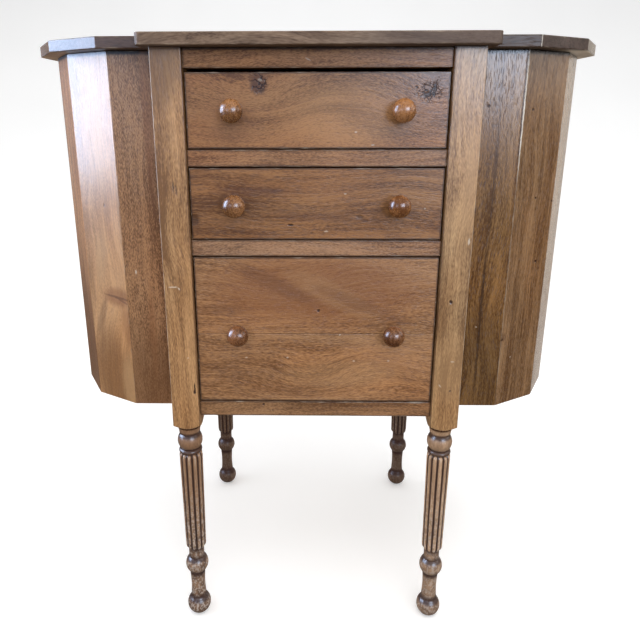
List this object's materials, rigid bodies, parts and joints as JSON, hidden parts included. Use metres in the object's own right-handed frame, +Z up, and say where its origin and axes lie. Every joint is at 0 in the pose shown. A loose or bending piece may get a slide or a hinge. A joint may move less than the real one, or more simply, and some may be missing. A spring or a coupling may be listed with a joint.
{
  "type": "sewing cabinet",
  "caption": "Free-standing sewing cabinet: a case of drawers with turned knobs on reeded legs, and a faceted storage pocket under a hinged lid on each side.",
  "frame": {"origin": "on the floor, under the middle of the whole cabinet's box, knobs included", "axes": "+Z up, +X to the cabinet's right seen from the front, the drawers open towards -Y"},
  "size_m": [0.669, 0.3758, 0.7404],
  "materials": {
    "top_wood": "walnut-stained hardwood, satin lacquer, greyed by wear",
    "post_wood": "golden-brown stained hardwood, satin lacquer",
    "rail_wood": "brown stained hardwood, satin lacquer",
    "front_wood": "reddish-brown walnut veneer, satin lacquer",
    "knob_wood": "turned hardwood, gloss lacquer",
    "pocket_wood": "walnut staves with upright grain, polished",
    "inner_wood": "plain pale secondary wood, unfinished",
    "hinge_brass": "plain drawn brass, dulled"
  },
  "bodies": {
    "case": {"centre_top": "top_wood", "post_front_left": "post_wood", "post_front_right": "post_wood", "post_back_left": "post_wood", "post_back_right": "post_wood", "rail_top": "rail_wood", "rail_upper": "rail_wood", "rail_lower": "rail_wood", "rail_bottom": "rail_wood", "back_panel": "pocket_wood", "side_panel_left": "pocket_wood", "pocket_floor_left": "inner_wood", "pocket_stave_left_1": "pocket_wood", "pocket_stave_left_2": "pocket_wood", "pocket_stave_left_3": "pocket_wood", "pocket_stave_left_4": "pocket_wood", "pocket_stave_left_5": "pocket_wood", "pocket_stave_left_6": "pocket_wood", "pocket_stave_left_7": "pocket_wood", "hinge_fixed_left_front": "hinge_brass", "hinge_fixed_left_back": "hinge_brass", "side_panel_right": "pocket_wood", "pocket_floor_right": "inner_wood", "pocket_stave_right_1": "pocket_wood", "pocket_stave_right_2": "pocket_wood", "pocket_stave_right_3": "pocket_wood", "pocket_stave_right_4": "pocket_wood", "pocket_stave_right_5": "pocket_wood", "pocket_stave_right_6": "pocket_wood", "pocket_stave_right_7": "pocket_wood", "hinge_fixed_right_front": "hinge_brass", "hinge_fixed_right_back": "hinge_brass"},
    "drawer_top": {"drawer_top_front": "front_wood", "drawer_top_side_left": "inner_wood", "drawer_top_side_right": "inner_wood", "drawer_top_back": "inner_wood", "drawer_top_floor": "inner_wood", "drawer_top_knob_left": "knob_wood", "drawer_top_knob_right": "knob_wood"},
    "drawer_middle": {"drawer_middle_front": "front_wood", "drawer_middle_side_left": "inner_wood", "drawer_middle_side_right": "inner_wood", "drawer_middle_back": "inner_wood", "drawer_middle_floor": "inner_wood", "drawer_middle_knob_left": "knob_wood", "drawer_middle_knob_right": "knob_wood"},
    "drawer_bottom": {"drawer_bottom_front": "front_wood", "drawer_bottom_side_left": "inner_wood", "drawer_bottom_side_right": "inner_wood", "drawer_bottom_back": "inner_wood", "drawer_bottom_floor": "inner_wood", "drawer_bottom_knob_left": "knob_wood", "drawer_bottom_knob_right": "knob_wood"},
    "left_lid": {"lid_left": "top_wood", "hinge_moving_left_front": "hinge_brass", "hinge_moving_left_back": "hinge_brass"},
    "right_lid": {"lid_right": "top_wood", "hinge_moving_right_front": "hinge_brass", "hinge_moving_right_back": "hinge_brass"}
  },
  "joints": [
    {"name": "drawer_top_slide", "type": "slide", "parent": "case", "child": "drawer_top", "axis": [0, -1, 0], "range_m": [0, 0.22]},
    {"name": "drawer_middle_slide", "type": "slide", "parent": "case", "child": "drawer_middle", "axis": [0, -1, 0], "range_m": [0, 0.22]},
    {"name": "drawer_bottom_slide", "type": "slide", "parent": "case", "child": "drawer_bottom", "axis": [0, -1, 0], "range_m": [0, 0.22]},
    {"name": "left_lid_hinge", "type": "hinge", "parent": "case", "child": "left_lid", "pos_m": [-0.184, 0.002, 0.738], "axis": [0, 1, 0], "range_deg": [0, 180]},
    {"name": "right_lid_hinge", "type": "hinge", "parent": "case", "child": "right_lid", "pos_m": [0.184, 0.002, 0.738], "axis": [0, -1, 0], "range_deg": [0, 180]}
  ]
}
